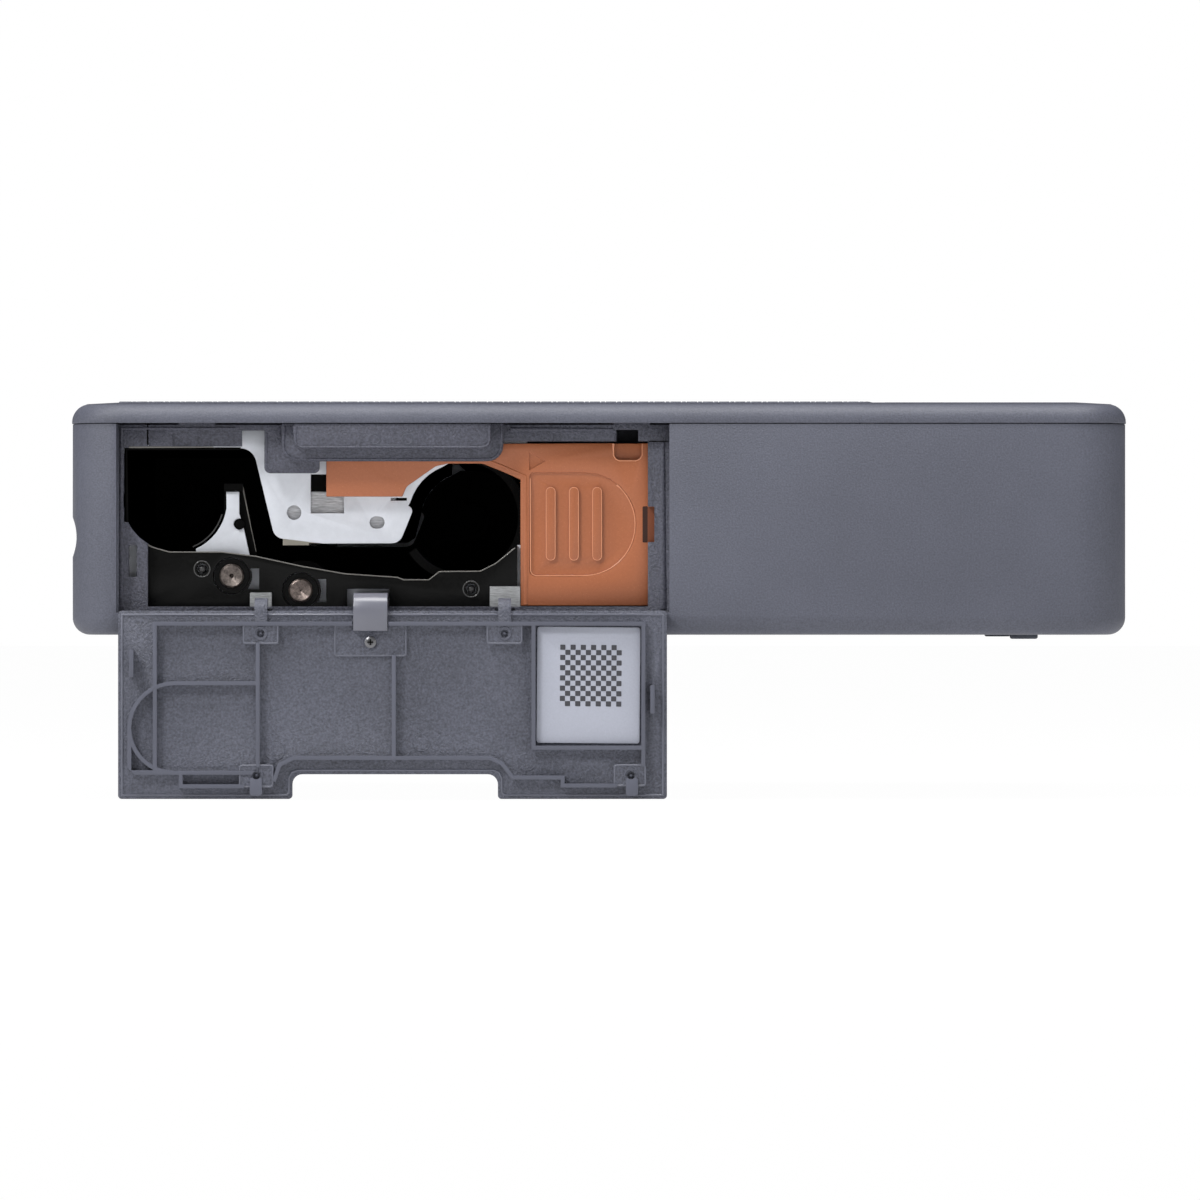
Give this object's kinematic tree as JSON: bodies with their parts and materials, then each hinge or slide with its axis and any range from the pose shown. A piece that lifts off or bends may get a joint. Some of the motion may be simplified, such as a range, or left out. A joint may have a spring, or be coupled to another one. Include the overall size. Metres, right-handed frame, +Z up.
{
  "type": "photo printer",
  "caption": "Slim pocket photo printer with a hinged ridged paper lid and an open side cover that hangs below a spooled-ink cassette bay with an eject lever.",
  "frame": {"origin": "plan centre of the body on the plane that its four feet stand on", "axes": "+X along the body from its paper slot to its port end, -Y towards the side with the ink cassette cover, +Z up"},
  "size_m": [0.146, 0.1058, 0.0549],
  "materials": {
    "battery_wrap": "shrink wrap",
    "board_green": "solder resist",
    "button_grey": "satin grey plastic",
    "case_slate": "fine spark-grained slate grey plastic",
    "ceramic": "glazed ceramic",
    "chip_black": "moulded epoxy",
    "foot_rubber": "dark rubber",
    "frame_slate": "grained slate grey plastic",
    "gear_white": "natural acetal",
    "guide_black": "satin black plastic",
    "heat_sink_alu": "extruded aluminium",
    "label_silver": "fine satin silver foil",
    "lens": "clear light pipe",
    "lever_terracotta": "terracotta plastic with a slight glitter",
    "lid_slate": "slate grey plastic with low ridges",
    "liner_black": "deep black plastic",
    "motor_steel": "drawn steel can",
    "pinion_brass": "cut brass",
    "plate_steel": "pale zinc-coated sheet steel",
    "port_steel": "stamped steel",
    "roller_nickel": "warm nickel-plated turned steel",
    "roller_rubber": "ground black rubber",
    "screw_steel": "zinc-coated steel",
    "shaft_steel": "ground steel",
    "spring_steel": "spring wire",
    "strap_grey": "smooth flexible grey plastic",
    "tray_grey": "plain dark grey plastic"
  },
  "bodies": {
    "root": {"bottom_case": "case_slate", "top_case": "case_slate", "side_frame": "frame_slate", "top_frame": "frame_slate", "chassis_near": "plate_steel", "chassis_far": "plate_steel", "cassette_guide": "guide_black", "bay_liner": "liner_black", "head_hood": "liner_black", "print_head": "ceramic", "heat_sink": "heat_sink_alu", "paper_tray": "tray_grey", "main_board": "board_green", "board_parts": "chip_black", "battery_pack": "battery_wrap", "usb_socket": "port_steel", "drive_motor": "motor_steel", "gear_studs": "shaft_steel", "roller_bushes": "guide_black", "status_lenses": "lens", "rubber_feet": "foot_rubber", "case_screws": "screw_steel", "lever_spring": "spring_steel", "cover_strap": "strap_grey"},
    "ink_cover": {"ink_cover": "case_slate", "label_plate": "label_silver", "strap_screw": "screw_steel"},
    "paper_lid": {"paper_lid": "lid_slate", "lid_hinge_pins": "shaft_steel"},
    "eject_lever": {"eject_lever": "lever_terracotta"},
    "power_button": {"power_button": "button_grey"},
    "platen": {"platen_shaft": "roller_nickel", "platen_rubber": "roller_rubber", "platen_gear": "gear_white"},
    "capstan": {"capstan_shaft": "roller_nickel", "capstan_gear": "gear_white"},
    "takeup": {"takeup_spindle": "liner_black", "takeup_gear": "gear_white"},
    "idler_upper": {"idler_upper": "gear_white"},
    "idler_lower": {"idler_lower": "gear_white"},
    "motor_pinion": {"motor_pinion": "pinion_brass"},
    "supply_spindle": {"supply_spindle": "liner_black"},
    "pinch_roller": {"pinch_roller": "roller_nickel"},
    "pickup_roller": {"pickup_roller": "roller_rubber"}
  },
  "joints": [
    {"name": "cover_hinge", "type": "hinge", "parent": "root", "child": "ink_cover", "pos_m": [-0.0284, -0.05125, 0.00379], "axis": [-1, 0, 0], "range_deg": [0, 180], "deforming": ["cover_strap"]},
    {"name": "lid_hinge", "type": "hinge", "parent": "root", "child": "paper_lid", "pos_m": [0.0371, 0, 0.0306], "axis": [0, 1, 0], "range_deg": [0, 75]},
    {"name": "lever_slide", "type": "slide", "parent": "root", "child": "eject_lever", "axis": [1, 0, 0], "range_m": [0, 0.003], "stiffness_N_per_m": 150, "springref_m": -0.001, "deforming": ["lever_spring"]},
    {"name": "power_press", "type": "slide", "parent": "root", "child": "power_button", "axis": [0, 0, -1], "range_m": [0, 0.0004], "stiffness_N_per_m": 400, "springref_m": -0.0005},
    {"name": "platen_spin", "type": "hinge", "parent": "root", "child": "platen", "pos_m": [-0.04126, 0, 0.0067], "axis": [0, 1, 0], "continuous": true},
    {"name": "capstan_spin", "type": "hinge", "parent": "root", "child": "capstan", "pos_m": [-0.0508, 0, 0.00873], "axis": [0, 1, 0], "continuous": true},
    {"name": "upper_idler_spin", "type": "hinge", "parent": "root", "child": "idler_upper", "pos_m": [-0.03703, 0, 0.01467], "axis": [0, 1, 0], "continuous": true},
    {"name": "takeup_spin", "type": "hinge", "parent": "root", "child": "takeup", "pos_m": [-0.0189, 0, 0.0168], "axis": [0, 1, 0], "continuous": true},
    {"name": "lower_idler_spin", "type": "hinge", "parent": "root", "child": "idler_lower", "pos_m": [-0.00487, 0, 0.01433], "axis": [0, 1, 0], "continuous": true},
    {"name": "motor_spin", "type": "hinge", "parent": "root", "child": "motor_pinion", "pos_m": [0.00435, 0, 0.01352], "axis": [0, 1, 0], "continuous": true},
    {"name": "supply_spin", "type": "hinge", "parent": "root", "child": "supply_spindle", "pos_m": [-0.0588, 0, 0.01915], "axis": [0, 1, 0], "continuous": true},
    {"name": "pinch_spin", "type": "hinge", "parent": "root", "child": "pinch_roller", "pos_m": [-0.0508, 0, 0.00483], "axis": [0, 1, 0], "continuous": true},
    {"name": "pickup_spin", "type": "hinge", "parent": "root", "child": "pickup_roller", "pos_m": [0.044, 0, 0.0239], "axis": [0, 1, 0], "continuous": true}
  ],
  "couplings": [
    {"joint": "capstan_spin", "follows": "platen_spin", "ratio": -0.69565},
    {"joint": "upper_idler_spin", "follows": "platen_spin", "ratio": 0.43243},
    {"joint": "takeup_spin", "follows": "platen_spin", "ratio": -0.44444},
    {"joint": "lower_idler_spin", "follows": "platen_spin", "ratio": 0.7619},
    {"joint": "motor_spin", "follows": "platen_spin", "ratio": -1}
  ]
}
